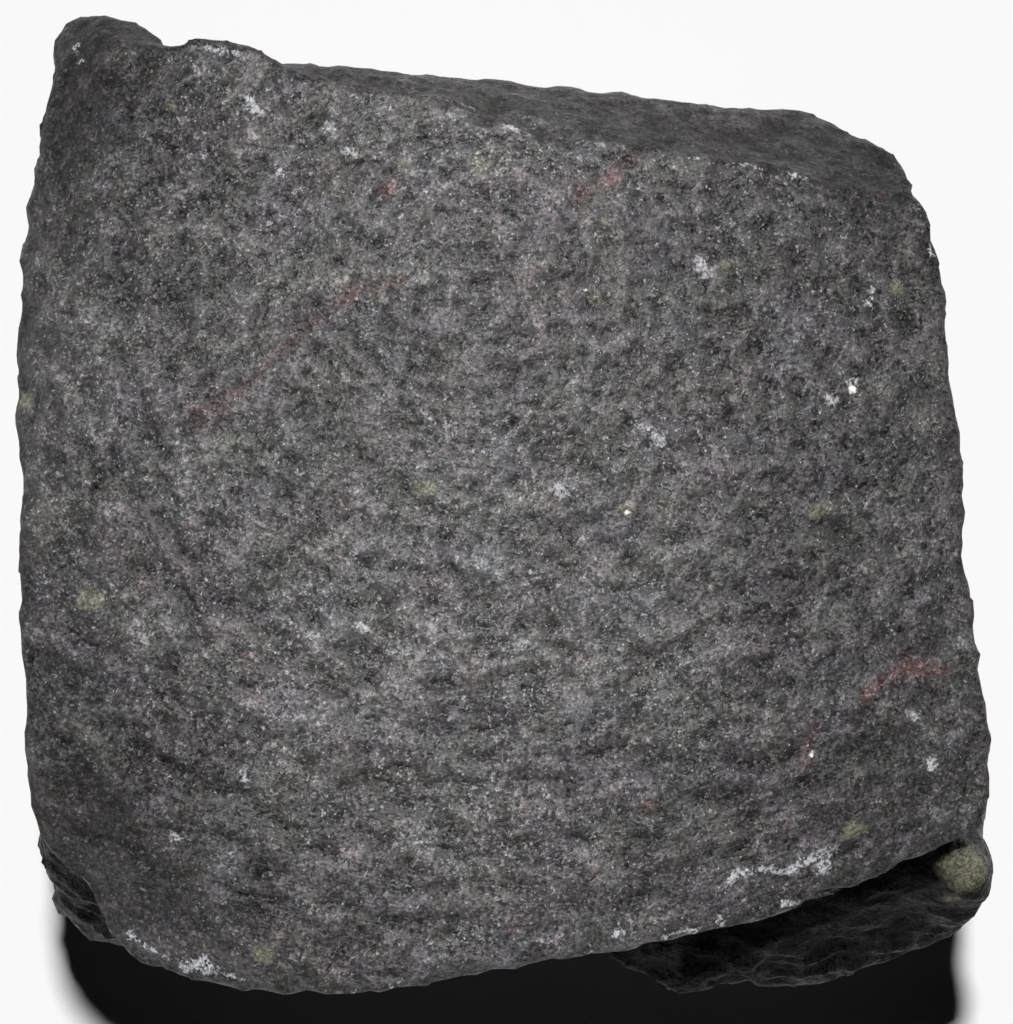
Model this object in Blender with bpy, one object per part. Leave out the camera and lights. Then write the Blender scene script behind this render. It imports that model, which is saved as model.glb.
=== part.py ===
"""A hand specimen of basalt: one trimmed, blocky stone that lies on a small flat spot.

The stone is one solid. It is roughed out as a hammer leaves it: a capping slab with the broad upper
fracture face, a core under it, and the lumps and ledges that stick out past the slab. A voxel remesh welds
them into one body, flake scars are pressed into its sides, every face gets its own waviness, and the mesh
is thinned out so that small faces stay only where the stone has edges.

All sizes below are millimetres. The finished mesh is scaled to metres. X runs to the right across the
upper face, Y away from the reader, Z up. The origin is the middle of the stone's box, on the ground.
"""

import math

import bmesh
import bpy
from mathutils import Matrix, Vector, noise
from mathutils.geometry import delaunay_2d_cdt

METRES_PER_MM = 0.001

# Driving dimensions
STONE_HEIGHT = 50.0
SLAB_UNDERSIDE = 33.0  # height of the slab's lower side, inside the stone
SLAB_UNDERCUT = 0.90  # size of the slab's lower side against its rim
GRID_STEP = 2.0  # spacing of the points that carry the upper face's height
HINGE_SOFTNESS = 0.5  # how far two facets of the upper face blend into each other

VOXEL = 0.7  # size of the cells that weld the pieces
SOLID_TRIANGLES = 8600
BELLY_RADIUS = 27.0  # the underside bulges a little around its middle, where the flat spot is worn
BELLY_DEPTH = 2.4

# The rim of the upper face, anticlockwise from the north-west corner, seen from above
RIM = [
    (-37.6, 36.6), (-38.8, 31.1), (-39.5, 25.8), (-40.0, 15.8), (-40.4, 8.4), (-40.2, 0.0), (-39.9, -8.0),
    (-39.5, -17.4), (-39.3, -23.3), (-38.4, -27.1), (-37.1, -28.6), (-34.4, -31.3), (-33.5, -32.9),
    (-32.8, -35.2), (-31.3, -37.4), (-26.8, -38.6), (-20.0, -39.5), (-12.0, -39.5), (-4.0, -38.3),
    (3.5, -37.0), (10.9, -35.6), (15.6, -34.3), (20.2, -33.1), (24.1, -32.3), (25.2, -31.6), (29.4, -30.7),
    (33.2, -28.9), (36.0, -27.7), (39.6, -26.4), (39.9, -22.9), (39.1, -12.2), (38.1, -2.7), (36.8, 9.9),
    (36.1, 16.6), (35.4, 21.1), (34.9, 23.3), (34.0, 24.4), (32.7, 25.5), (29.8, 26.7), (26.6, 26.8),
    (24.9, 27.9), (21.8, 28.8), (15.8, 29.7), (10.9, 30.3), (5.3, 30.4), (1.4, 31.1), (-0.8, 32.1),
    (-4.4, 33.4), (-8.5, 34.7), (-14.4, 35.5), (-18.1, 36.6), (-20.9, 38.5), (-25.0, 39.3), (-26.3, 38.9),
    (-26.8, 37.8), (-28.2, 38.5), (-32.2, 39.1), (-34.2, 38.8), (-36.5, 37.8),
]

# Facets of the upper face: a point on each, the way it falls (seen from above), and how steeply, in degrees
UPPER_FACETS = [
    ("crown", (-2.0, -5.0, 49.5), (0.3, -1.0), 1.2),
    ("north-west", (-11.1, 18.5, 49.9), (-0.585, 0.81), 7.5),
    ("west bevel", (-33.6, 26.0, 47.2), (-0.97, 0.23), 38.0),
    ("west roll", (-35.5, -2.0, 48.6), (-1.0, 0.05), 13.0),
    ("south-west bevel", (-31.0, -25.6, 48.5), (-0.69, -0.73), 33.0),
    ("east", (14.1, 9.1, 49.4), (0.86, 0.51), 8.0),
    ("east bevel", (33.6, -2.0, 47.6), (1.0, 0.07), 30.0),
    ("north-east chip", (29.0, 24.0, 47.9), (0.46, 0.89), 30.0),
    ("south-east bevel", (35.0, -21.0, 47.6), (0.72, -0.69), 28.0),
]

# The pieces under and beside the slab, each the hull of a few corners
CORE = [
    (-31, -26, 1.5), (-32, 11, 1.5), (-26, 27, 1.8), (4, 28, 1.5), (23, 25, 1.8), (30, 4, 1.5),
    (31, -20, 1.8), (18, -31, 1.5), (-9, -29, 1.5),
    (-37, -30, 8), (-37.5, 13, 10), (-31, 32.5, 9), (4, 33, 8), (27, 28.5, 10), (35, 6, 9), (36.5, -24, 8),
    (20, -36, 9), (-11, -34.5, 7),
    (-39.6, -34.6, 20), (-39.0, -28.0, 24), (-38.8, 11, 26), (-37, 35, 24), (2, 35, 22), (28, 31, 24),
    (36.5, 12, 24), (39.0, -18, 25), (36, -33, 22), (-37.6, -38.1, 19), (-14, -37.4, 20), (10, -37.8, 17),
    (-37.4, -24, 41), (-38.4, 12, 41), (-34, 34, 40), (-10, 33.5, 43), (28, 26, 42), (34.0, 10, 42),
    (37.0, -18, 42), (30, -28, 41), (-12, -36.0, 34), (-32, -31, 36),
]
NORTH_SHELF = [
    (-22, 37.6, 44.5), (-17, 36.6, 45.0), (-8, 34.6, 46.8), (1, 31.6, 46.6), (14, 29.6, 46.8),
    (26, 26.8, 46.0), (32.5, 25.6, 44.4),
    (-16.4, 37.2, 40), (-11.5, 35.8, 37.5), (-6.4, 35.1, 36), (7.5, 34.1, 34.5), (17.1, 33.5, 34),
    (25.4, 33.8, 34), (27.0, 33.0, 34.5), (28.9, 31.8, 35), (32.1, 30.8, 36), (33.4, 29.0, 37),
    (34.2, 26.8, 39),
    (-12, 33, 14), (20, 30, 14), (30, 27, 20), (0, 20, 30),
]
NORTH_WEST_LUMP = [
    (-37.8, 36.4, 42.0), (-38.0, 39.0, 39.0), (-37.1, 41.1, 38.0), (-36.1, 41.8, 38.6), (-34.7, 41.9, 39.2),
    (-32.3, 41.4, 40.0), (-30.3, 40.4, 41.0), (-28.2, 39.0, 42.4),
    (-36.3, 37.8, 42.8), (-34.1, 38.8, 43.8), (-32.2, 39.3, 44.6), (-29.0, 38.4, 44.2),
    (-36.6, 39.0, 26), (-30.0, 38.0, 24), (-34.0, 30.0, 18), (-30.0, 30.0, 38),
]
SOUTH_EAST_LEDGE = [
    (8.6, -38.2, 23.5), (15.0, -42.4, 21.5), (18.3, -42.5, 20.5), (23.1, -42.4, 19.5),
    (26.6, -41.7, 19.5), (29.4, -40.7, 20.0),
    (31.4, -39.5, 21.0), (34.0, -38.2, 22.5), (36.6, -37.1, 24.5), (38.8, -35.7, 27.5), (39.8, -34.6, 30.0),
    (20.0, -33.6, 21.0), (27.0, -30.6, 33.0), (31.6, -29.8, 39.5), (36.6, -28.6, 41.6), (38.8, -28.0, 40.5),
    (16.0, -35.0, 6), (33.0, -30.5, 5), (38.2, -24.0, 9), (9.0, -34.0, 20), (39.4, -20.0, 34),
    (30.0, -20.0, 38),
]
CORNER_KNOB = [
    (37.4, -28.9, 41.6), (39.0, -28.2, 41.6), (40.2, -28.8, 41.2), (40.2, -31.0, 40.0), (39.2, -32.6, 39.0),
    (37.6, -32.0, 39.4), (36.8, -30.4, 40.6),
    (38.6, -27.0, 39.6), (40.8, -27.6, 38.6), (41.2, -30.0, 37.6), (40.9, -32.4, 36.0), (40.0, -34.2, 34.0),
    (38.0, -35.6, 31.0), (35.0, -33.6, 34.0),
    (36.0, -26.0, 33.0), (40.3, -25.5, 31.0), (40.7, -31.0, 31.0), (39.6, -34.6, 30.0), (36.2, -36.4, 27.0),
    (36.0, -32.0, 24.0), (38.6, -25.0, 24.0),
]

# Flake scars: hollows struck out of the sides, each part of a large ball that bites into the stone
SCARS = [
    ("under the south rim", (-13.0, -69.5, 26.0), 34.5),
    ("south foot", (4.0, -62.0, -14.0), 34.0),
    ("west side", (-73.5, 4.0, 20.0), 35.5),
    ("west foot", (-60.0, -14.0, -16.0), 33.0),
    ("north foot", (-8.0, 63.0, 4.0), 33.0),
    ("north-east foot", (42.0, 46.0, 8.0), 27.0),
    ("east side", (70.0, -4.0, 30.0), 32.3),
    ("east foot", (58.0, -18.0, -12.0), 31.0),
    ("north under the shelf", (18.0, 58.0, 24.0), 25.6),
    ("south-east foot", (32.0, -60.0, -4.0), 27.0),
]

# Chips: flat faces left where a corner came off, each a point on the face and the way the face looks
CHIPS = [
    ("south-west foot", (-30.5, -31.5, 7.0), (-0.52, -0.62, -0.58)),
    ("west foot", (-36.6, 4.0, 9.0), (-0.80, 0.10, -0.59)),
    ("north-west upright", (-34.0, 34.5, 20.0), (-0.70, 0.58, -0.42)),
    ("north foot", (6.0, 33.2, 9.0), (0.12, 0.83, -0.54)),
    ("north-east upright", (33.0, 27.0, 20.0), (0.66, 0.74, -0.12)),
    ("east foot", (36.4, -6.0, 8.0), (0.84, 0.06, -0.54)),
    ("south foot", (-12.0, -34.6, 8.0), (-0.10, -0.80, -0.59)),
    ("south-east foot", (34.0, -34.0, 12.0), (0.60, -0.62, -0.50)),
]

# Zones with little roughness, where a sharp long edge or a rounded lump is left: a ball's middle and radius
CALM_ZONES = [
    ((19.0, -40.5, 21.0), 9.0), ((31.0, -38.0, 24.0), 10.0), ((38.0, -33.0, 33.0), 10.0),
    ((-9.0, 36.0, 39.0), 8.0), ((3.0, 34.0, 38.0), 9.0), ((15.0, 33.0, 37.0), 9.0), ((27.0, 31.0, 37.0), 8.0),
    ((-33.0, 40.0, 40.0), 8.0), ((-38.5, -34.0, 22.0), 8.0),
]
CALM_SHARE = 0.25  # how much roughness is left in a calm zone
WORN_KNOB = ((39.0, -31.0, 37.5), 7.0)  # the corner knob is rounded by wear
WEAR_ROUNDS = 10

# The crack that parts the slab from the knob, as points along it, and its size
CRACK = [(33.0, -29.2, 46.5), (36.2, -28.0, 45.6), (38.0, -27.5, 44.8), (41.5, -26.9, 42.0)]
CRACK_HALF_WIDTH = 1.1
CRACK_DEPTH = 2.2

BASALT_COLOUR = (0.115, 0.111, 0.114, 1.0)
BASALT_ROUGHNESS = 0.82


def clear_scene():
    for old in list(bpy.data.objects):
        bpy.data.objects.remove(old)


def upper_face_height(x, y):
    """Height of the upper fracture face: the lowest of its facets, blended a little where two meet."""
    total = 0.0
    for _, point, falls, slope in UPPER_FACETS:
        length = math.hypot(*falls)
        along = ((x - point[0]) * falls[0] + (y - point[1]) * falls[1]) / length
        facet = point[2] - math.tan(math.radians(slope)) * along
        total += math.exp(-facet / HINGE_SOFTNESS)
    return -HINGE_SOFTNESS * math.log(total)


def mesh_object(name, bm):
    bmesh.ops.recalc_face_normals(bm, faces=bm.faces)
    mesh = bpy.data.meshes.new(name)
    bm.to_mesh(mesh)
    bm.free()
    made = bpy.data.objects.new(name, mesh)
    bpy.context.scene.collection.objects.link(made)
    return made


def hull_piece(name, corners):
    """The tightest block around a few corners."""
    bm = bmesh.new()
    for corner in corners:
        bm.verts.new(corner)
    bmesh.ops.convex_hull(bm, input=bm.verts)
    left_inside = [vertex for vertex in bm.verts if not vertex.link_faces]
    bmesh.ops.delete(bm, geom=left_inside, context="VERTS")
    return mesh_object(name, bm)


def slab_piece(name):
    """The capping slab: its upper face follows upper_face_height, its walls draw in a little downwards."""
    rim = [Vector(point) for point in RIM]
    count = len(rim)
    reach = max(max(abs(p.x), abs(p.y)) for p in rim)
    steps = int(reach / GRID_STEP) + 1
    grid = [
        Vector((i * GRID_STEP, j * GRID_STEP))
        for i in range(-steps, steps + 1)
        for j in range(-steps, steps + 1)
    ]
    edges = [(i, (i + 1) % count) for i in range(count)]
    inside_only = 1  # the triangulation keeps what lies within the rim
    flat, _, faces, sources, *_ = delaunay_2d_cdt(rim + grid, edges, [], inside_only, 1e-4)
    used = sorted({index for face in faces for index in face})
    bm = bmesh.new()
    tops = {i: bm.verts.new((flat[i].x, flat[i].y, upper_face_height(flat[i].x, flat[i].y))) for i in used}
    for face in faces:
        bm.faces.new([tops[i] for i in face])
    border = [edge for edge in bm.edges if edge.is_boundary]
    walls = bmesh.ops.extrude_edge_only(bm, edges=border)["geom"]
    for lower in (item for item in walls if isinstance(item, bmesh.types.BMVert)):
        lower.co = (lower.co.x * SLAB_UNDERCUT, lower.co.y * SLAB_UNDERCUT, SLAB_UNDERSIDE)
    bmesh.ops.holes_fill(bm, edges=[edge for edge in bm.edges if edge.is_boundary])
    return mesh_object(name, bm)


def evaluated_mesh(source):
    """The object's mesh with its modifiers applied. The object itself is removed."""
    graph = bpy.context.evaluated_depsgraph_get()
    graph.update()
    mesh = bpy.data.meshes.new_from_object(source.evaluated_get(graph))
    bpy.data.objects.remove(source)
    return mesh


def weld(pieces):
    """One closed surface around all the pieces, made of even cells."""
    bm = bmesh.new()
    for piece in pieces:
        bm.from_mesh(piece.data)
        bpy.data.objects.remove(piece)
    joined = mesh_object("joined_pieces", bm)
    remesh = joined.modifiers.new("Weld into one body", "REMESH")
    remesh.mode = "VOXEL"
    remesh.voxel_size = VOXEL
    return evaluated_mesh(joined)


def keep_outer_surface(mesh):
    """Fills the hidden gaps between welded pieces: only the largest connected surface is kept."""
    bm = bmesh.new()
    bm.from_mesh(mesh)
    waiting = set(bm.verts)
    surfaces = []
    while waiting:
        reached = [waiting.pop()]
        for vertex in reached:
            for edge in vertex.link_edges:
                other = edge.other_vert(vertex)
                if other in waiting:
                    waiting.remove(other)
                    reached.append(other)
        surfaces.append(reached)
    surfaces.sort(key=len)
    for hidden in surfaces[:-1]:
        bmesh.ops.delete(bm, geom=hidden, context="VERTS")
    bm.to_mesh(mesh)
    bm.free()


def press_scar(mesh, centre, radius):
    """Pushes what lies inside the ball out to its surface, as a flake struck off leaves a shallow hollow."""
    centre = Vector(centre)
    for vertex in mesh.vertices:
        away = vertex.co - centre
        if away.length < radius:
            vertex.co = centre + away.normalized() * radius


def strike_chip(mesh, point, faces):
    """Flattens what lies beyond a plane onto it."""
    point, faces = Vector(point), Vector(faces).normalized()
    for vertex in mesh.vertices:
        beyond = (vertex.co - point).dot(faces)
        if beyond > 0.0:
            vertex.co -= faces * beyond


def distance_to_path(point, path):
    """The distance from a point to the nearest stretch of a path, and that stretch's place, from 0 to 1."""
    nearest = (1e9, 0.0)
    for index in range(len(path) - 1):
        start, end = Vector(path[index]), Vector(path[index + 1])
        run = end - start
        share = max(0.0, min(1.0, (point - start).dot(run) / run.length_squared))
        gap = (point - start - run * share).length
        nearest = min(nearest, (gap, (index + share) / (len(path) - 1)))
    return nearest


def open_crack(mesh):
    """Sinks a narrow groove along the crack's path, deeper towards the corner."""
    inward = Vector((-0.45, 0.75, -0.48))
    for vertex in mesh.vertices:
        gap, share = distance_to_path(vertex.co, CRACK)
        if gap < CRACK_HALF_WIDTH:
            depth = CRACK_DEPTH * (1.0 - gap / CRACK_HALF_WIDTH) * min(1.0, 0.3 + share)
            vertex.co += inward * depth


def facet_tilt(point, cell):
    """Each cell of the stone breaks along its own small plane: the height of that plane at this point."""
    distances, points = noise.voronoi(point / cell)
    seat = points[0]
    lean = noise.cell_vector(seat * 7.3) - Vector((0.5, 0.5, 0.5))
    return (point / cell - seat).dot(lean) * min(1.0, (distances[1] - distances[0]) * 4.0)


def smooth_step(low, high, value):
    share = max(0.0, min(1.0, (value - low) / (high - low)))
    return share * share * (3.0 - 2.0 * share)


def calm_share(point):
    """How much roughness a place keeps: all of it outside the calm zones."""
    share = 1.0
    for centre, radius in CALM_ZONES:
        away = (point - Vector(centre)).length / radius
        share = min(share, CALM_SHARE + (1.0 - CALM_SHARE) * smooth_step(0.6, 1.2, away))
    return share


def wear_knob(mesh):
    """Rounds the corner knob: each point there moves towards the middle of its neighbours, several times."""
    centre, radius = WORN_KNOB
    bm = bmesh.new()
    bm.from_mesh(mesh)
    worn = [vertex for vertex in bm.verts if (vertex.co - Vector(centre)).length < radius]
    for _ in range(WEAR_ROUNDS):
        bmesh.ops.smooth_vert(bm, verts=worn, factor=0.5, use_axis_x=True, use_axis_y=True, use_axis_z=True)
    bm.to_mesh(mesh)
    bm.free()


def terraces(point):
    """Plates of slightly different height with sharp borders, as flakes leave them: from -1 to 1."""
    height = 1.5 * noise.fractal(Vector((point.x / 20.0, point.y / 20.0, point.z / 13.0)), 1.0, 2.0, 2)
    level = math.floor(height)
    return level + smooth_step(0.38, 0.62, height - level)


def roughen(mesh):
    """Waviness of the broken faces: slight on the upper face, strong and blocky on the sides."""
    normals = [vertex.normal.copy() for vertex in mesh.vertices]
    for vertex, normal in zip(mesh.vertices, normals):
        point = vertex.co.copy()
        broad = noise.fractal(point / 19.0, 1.0, 2.0, 3)
        hackle = noise.fractal(point / 6.5 + Vector((9.1, 3.7, 5.2)), 0.8, 2.1, 3)
        upper = 0.45 * broad + 0.22 * hackle
        rough = 0.7 * broad + 0.45 * hackle + 2.0 * facet_tilt(point, 14.0) + 1.0 * facet_tilt(point, 6.5)
        rough += 1.1 * terraces(point)
        # near the rim the walls may be hollowed but hardly swell, so that the outline seen from above stays
        start, end = (30.0, 44.0) if rough > 0.0 else (40.0, 47.0)
        rough *= 1.0 - 0.8 * smooth_step(start, end, point.z)
        rough *= 1.0 - 0.5 * smooth_step(0.6, 0.95, -normal.z)
        rough *= calm_share(point)
        share = smooth_step(0.35, 0.85, normal.z)
        vertex.co = point + normal * (upper * share + rough * (1.0 - share))


def wear_flat(mesh):
    """Lets the underside bulge a little and grinds the bulge to the flat spot that the stone lies on."""
    for vertex in mesh.vertices:
        near_ground = max(0.0, 1.0 - vertex.co.z / 6.0)
        share = 1.0 - (vertex.co.x ** 2 + vertex.co.y ** 2) / BELLY_RADIUS ** 2
        vertex.co.z -= BELLY_DEPTH * max(0.0, share) * min(1.0, near_ground)
    ground = max(vertex.co.z for vertex in mesh.vertices) - STONE_HEIGHT
    for vertex in mesh.vertices:
        vertex.co.z = max(0.0, vertex.co.z - ground)


def thin_out(mesh, triangles):
    """Merges faces where the stone is nearly flat, so that the small ones are left for its edges."""
    mesh.calc_loop_triangles()
    holder = bpy.data.objects.new("dense_stone", mesh)
    bpy.context.scene.collection.objects.link(holder)
    decimate = holder.modifiers.new("Thin out", "DECIMATE")
    decimate.decimate_type = "COLLAPSE"
    decimate.ratio = triangles / len(mesh.loop_triangles)
    decimate.use_collapse_triangulate = True
    return evaluated_mesh(holder)


def centre_on_base(mesh):
    """Puts the origin at the middle of the stone's box, on the ground, and turns millimetres into metres."""
    xs = [vertex.co.x for vertex in mesh.vertices]
    ys = [vertex.co.y for vertex in mesh.vertices]
    middle = Vector(((min(xs) + max(xs)) / 2, (min(ys) + max(ys)) / 2, 0.0))
    for vertex in mesh.vertices:
        if vertex.co.z < 0.02:
            vertex.co.z = 0.0
    mesh.transform(Matrix.Scale(METRES_PER_MM, 4) @ Matrix.Translation(-middle))
    print("stone centred from", tuple(round(value, 3) for value in middle), "mm")


def basalt_material():
    material = bpy.data.materials.new("basalt")
    material.use_nodes = True
    shader = material.node_tree.nodes["Principled BSDF"]
    shader.inputs["Base Color"].default_value = BASALT_COLOUR
    shader.inputs["Roughness"].default_value = BASALT_ROUGHNESS
    shader.inputs["Metallic"].default_value = 0.0
    return material


def build_stone():
    pieces = [
        slab_piece("slab"),
        hull_piece("core", CORE),
        hull_piece("north_shelf", NORTH_SHELF),
        hull_piece("north_west_lump", NORTH_WEST_LUMP),
        hull_piece("south_east_ledge", SOUTH_EAST_LEDGE),
        hull_piece("corner_knob", CORNER_KNOB),
    ]
    mesh = weld(pieces)
    keep_outer_surface(mesh)
    for _, point, faces in CHIPS:
        strike_chip(mesh, point, faces)
    for _, centre, radius in SCARS:
        press_scar(mesh, centre, radius)
    wear_knob(mesh)
    open_crack(mesh)
    roughen(mesh)
    wear_flat(mesh)
    mesh = thin_out(mesh, SOLID_TRIANGLES)
    centre_on_base(mesh)
    mesh.name = "basalt_stone"
    mesh.materials.clear()
    mesh.materials.append(basalt_material())
    stone = bpy.data.objects.new("basalt_stone", mesh)
    bpy.context.scene.collection.objects.link(stone)
    return stone


clear_scene()
build_stone()
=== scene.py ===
# %% [markdown]
# # A basalt hand specimen
#
# The object is one broken piece of basalt, about eight centimetres across. Somebody knocked it off a larger
# rock and trimmed it with a hammer, so every face of it is a fresh fracture. It is photographed from
# straight above.
#
# Nearly all of its look is texture: a granular, hackly fracture surface in a dark, slightly warm grey, a
# few rusty veins, white bruises where the hammer touched it and tiny crystals that flash.
#
# This lesson starts from a coarse solid of the stone, gives it a finer skin with Geometry Nodes, paints
# masks for the marks onto the mesh, and then builds one procedural material that reads those masks.

import math
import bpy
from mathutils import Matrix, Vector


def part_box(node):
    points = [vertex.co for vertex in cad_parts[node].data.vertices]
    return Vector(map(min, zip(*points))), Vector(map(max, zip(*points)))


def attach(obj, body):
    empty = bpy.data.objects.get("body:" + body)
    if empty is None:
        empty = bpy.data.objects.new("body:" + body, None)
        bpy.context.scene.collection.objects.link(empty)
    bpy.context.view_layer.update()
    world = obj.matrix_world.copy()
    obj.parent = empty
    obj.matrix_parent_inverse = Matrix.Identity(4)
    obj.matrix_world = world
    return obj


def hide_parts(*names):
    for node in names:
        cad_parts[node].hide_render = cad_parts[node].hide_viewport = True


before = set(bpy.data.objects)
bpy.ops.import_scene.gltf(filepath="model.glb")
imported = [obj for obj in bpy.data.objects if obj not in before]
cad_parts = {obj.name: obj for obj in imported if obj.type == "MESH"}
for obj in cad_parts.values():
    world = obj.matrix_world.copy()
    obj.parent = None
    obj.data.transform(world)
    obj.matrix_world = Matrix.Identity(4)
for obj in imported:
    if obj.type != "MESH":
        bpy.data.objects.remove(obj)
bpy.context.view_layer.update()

from types import SimpleNamespace

import bmesh
import bpy
import numpy as np
from mathutils import Vector

MM = 0.001
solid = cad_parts["basalt_stone"]
low, high = (Vector(corner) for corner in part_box("basalt_stone"))
sides = [round(side / MM, 1) for side in high - low]
print("coarse solid:", sides, "mm,", len(solid.data.polygons), "triangles")

# %% [markdown]
# ## A fine, even mesh
#
# The coarse solid has a few thousand triangles of very different sizes. Relief that is pushed onto such a
# mesh would be fine in one place and blocky in the next. A voxel remesh lays an even net of small quads
# over it.
#
# The broad upper face is what the viewer looks at, so its quads are split once more. The sides can stay
# coarser. That keeps the piece below two hundred thousand triangles with the detail where it counts.

# %% An even net over the solid
SKIN_CELL = 0.72 * MM
UPPER_FACE_TURN = 0.55  # how far up a face must look to count as the upper face
UPPER_FACE_SHARE = 0.6  # and how high it must lie, as a share of the stone's height
WELD_DISTANCE = 1e-6


def placed(name, data):
    """A new object in the scene."""
    made = bpy.data.objects.new(name, data)
    bpy.context.scene.collection.objects.link(made)
    return made


def welded_copy(source, name):
    """A copy of the solid whose loose triangles share their corners."""
    bm = bmesh.new()
    bm.from_mesh(source.data)
    bmesh.ops.remove_doubles(bm, verts=bm.verts, dist=WELD_DISTANCE)
    mesh = bpy.data.meshes.new(name)
    bm.to_mesh(mesh)
    bm.free()
    return placed(name, mesh)


def baked(source):
    """Turns an object with modifiers into a plain one, and removes the modifiers."""
    graph = bpy.context.evaluated_depsgraph_get()
    graph.update()
    mesh = bpy.data.meshes.new_from_object(source.evaluated_get(graph))
    source.modifiers.clear()
    old = source.data
    source.data = mesh
    bpy.data.meshes.remove(old)
    return source


stone = welded_copy(solid, "basalt_skin")
net = stone.modifiers.new("Even net", "REMESH")
net.mode = "VOXEL"
net.voxel_size = SKIN_CELL
baked(stone)
print("even net:", len(stone.data.polygons), "quads")

# %% Smaller quads on the upper face


def split_upper_face(mesh):
    """Cuts every quad of the upper face into four."""
    bm = bmesh.new()
    bm.from_mesh(mesh)
    bm.normal_update()
    upper = [
        face
        for face in bm.faces
        if face.normal.z > UPPER_FACE_TURN and face.calc_center_median().z > UPPER_FACE_SHARE * high.z
    ]
    edges = {edge for face in upper for edge in face.edges}
    bmesh.ops.subdivide_edges(bm, edges=list(edges), cuts=1, use_grid_fill=True)
    bmesh.ops.triangulate(bm, faces=[face for face in bm.faces if len(face.verts) > 4])
    bm.to_mesh(mesh)
    bm.free()


split_upper_face(stone.data)
stone.data.calc_loop_triangles()
print("after splitting the upper face:", len(stone.data.loop_triangles), "triangles")

# %% [markdown]
# ## Small helpers for node trees
#
# Geometry and shader trees are built the same way: make a node, set its switches, then give each input a
# value or a link. A few helpers keep that short: one makes any node, the others make one Math node each and
# return its output.
#
# Many nodes own several sockets with the same name, one for each data type. Only one of them is in use at a
# time, so the helper looks for the enabled one.

# %% Helpers for nodes


def socket_of(sockets, key):
    """The socket with that name which is in use, or the one at that place."""
    if isinstance(key, int):
        return sockets[key]
    return next(socket for socket in sockets if socket.name == key and socket.enabled)


def feed(tree, value, target):
    """Links a socket to the target, or gives the target a plain value."""
    if isinstance(value, bpy.types.NodeSocket):
        tree.links.new(value, target)
    else:
        target.default_value = value


def add(tree, kind, inputs=None, **switches):
    """Makes a node, sets its switches, then gives each named input a value or a link."""
    made = tree.nodes.new(kind)
    for name, value in switches.items():
        setattr(made, name, value)
    for key, value in (inputs or {}).items():
        feed(tree, value, socket_of(made.inputs, key))
    return made


def out(made, name=0):
    return socket_of(made.outputs, name)


def calc(tree, operation, *values, clamp=False):
    """One Math node. Values are numbers or sockets."""
    made = add(tree, "ShaderNodeMath", dict(enumerate(values)), operation=operation)
    made.use_clamp = clamp
    return made.outputs[0]


def times(tree, first, second, **options):
    return calc(tree, "MULTIPLY", first, second, **options)


def times_plus(tree, first, second, third, **options):
    """The first times the second, plus the third."""
    return calc(tree, "MULTIPLY_ADD", first, second, third, **options)


def vector_calc(tree, operation, *values):
    """One Vector Math node. A number for Scale is given last."""
    made = tree.nodes.new("ShaderNodeVectorMath")
    made.operation = operation
    for index, value in enumerate(values):
        feed(tree, value, made.inputs["Scale" if operation == "SCALE" and index == 1 else index])
    return made.outputs["Value" if operation in ("LENGTH", "DOT_PRODUCT", "DISTANCE") else "Vector"]


def ramp(tree, value, start, end, low_value=0.0, high_value=1.0):
    """Maps a value from one range onto another, with soft ends."""
    values = {"Value": value, "From Min": start, "From Max": end, "To Min": low_value, "To Max": high_value}
    return add(tree, "ShaderNodeMapRange", values, interpolation_type="SMOOTHSTEP").outputs["Result"]


# %% [markdown]
# ## The fracture surface
#
# Basalt breaks along no cleavage. The blow sends a crack outwards from one point, and the crack leaves
# shallow scallops and ripples that run round that point, with small steps and pits between them. Here the
# point lies in the upper left part of the upper face.
#
# It could be sculpted by hand, or displaced with a texture. A Geometry Nodes tree follows the rule better:
# it knows each point's distance and direction from the place of the blow, so it can stretch its noise along
# the ripples. It also measures which points stand proud of their surroundings, which the material needs
# later.
#
# The tree first smooths the small flat faces of the coarse solid away, but not its edges. Then it pushes
# each point along its normal by a sum of reliefs. Broad waves, ripples, scallops and hackle go everywhere.
# The sides also get plates with sharp borders, and the edges get bites. The last one puts back what the net
# rounded off the rims.
#
# Two local pushes at the end bring the left rim and the notch at the right corner to where the photo shows
# them.

# %% Sizes of the relief, in millimetres
NOTCH = (32.6, 25.6, 43.0)  # where the shelf ends at the right corner
NOTCH_WAY = (0.8, 0.6, 0.0)  # the way that it is pushed out
PAINTED_LIGHT_MIDDLE = (-3.0, 8.0, 0.0)  # the middle of the painted light on the upper face, which falls off towards the rims
PAINTED_LIGHT_SPREAD = (1 / 38.0, 1 / 50.0, 0.0)  # one over how far it reaches, along X and Y
BLOW_POINT = (-2.2, 17.7, 49.0)  # where the crack that made the upper face started
RELIEF = {
    "Broad waves": 0.30,  # up and down, over about 8 mm
    "Ripples": 0.36,  # along the arcs round the blow, over about 2 mm
    "Scallops": 0.33,  # rounded bumps and pits of about 1.5 mm
    "Hackle": 0.18,  # sharp small steps
    "Flake steps": 0.55,  # sharp-edged plates on the sides
    "Chipped edges": 0.25,  # bites out of the rim
    "Sharper rims": 0.9,  # how much of what the net rounded off is put back, as a share
    "Fuller left rim": 1.0,  # how far the left rim is pushed out
    "Filled notch": 1.3,  # how far the notch at the right corner is pushed out
}


# %% The tree: its sockets and the smoothed base
NOISE_SEED = 4.0


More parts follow.
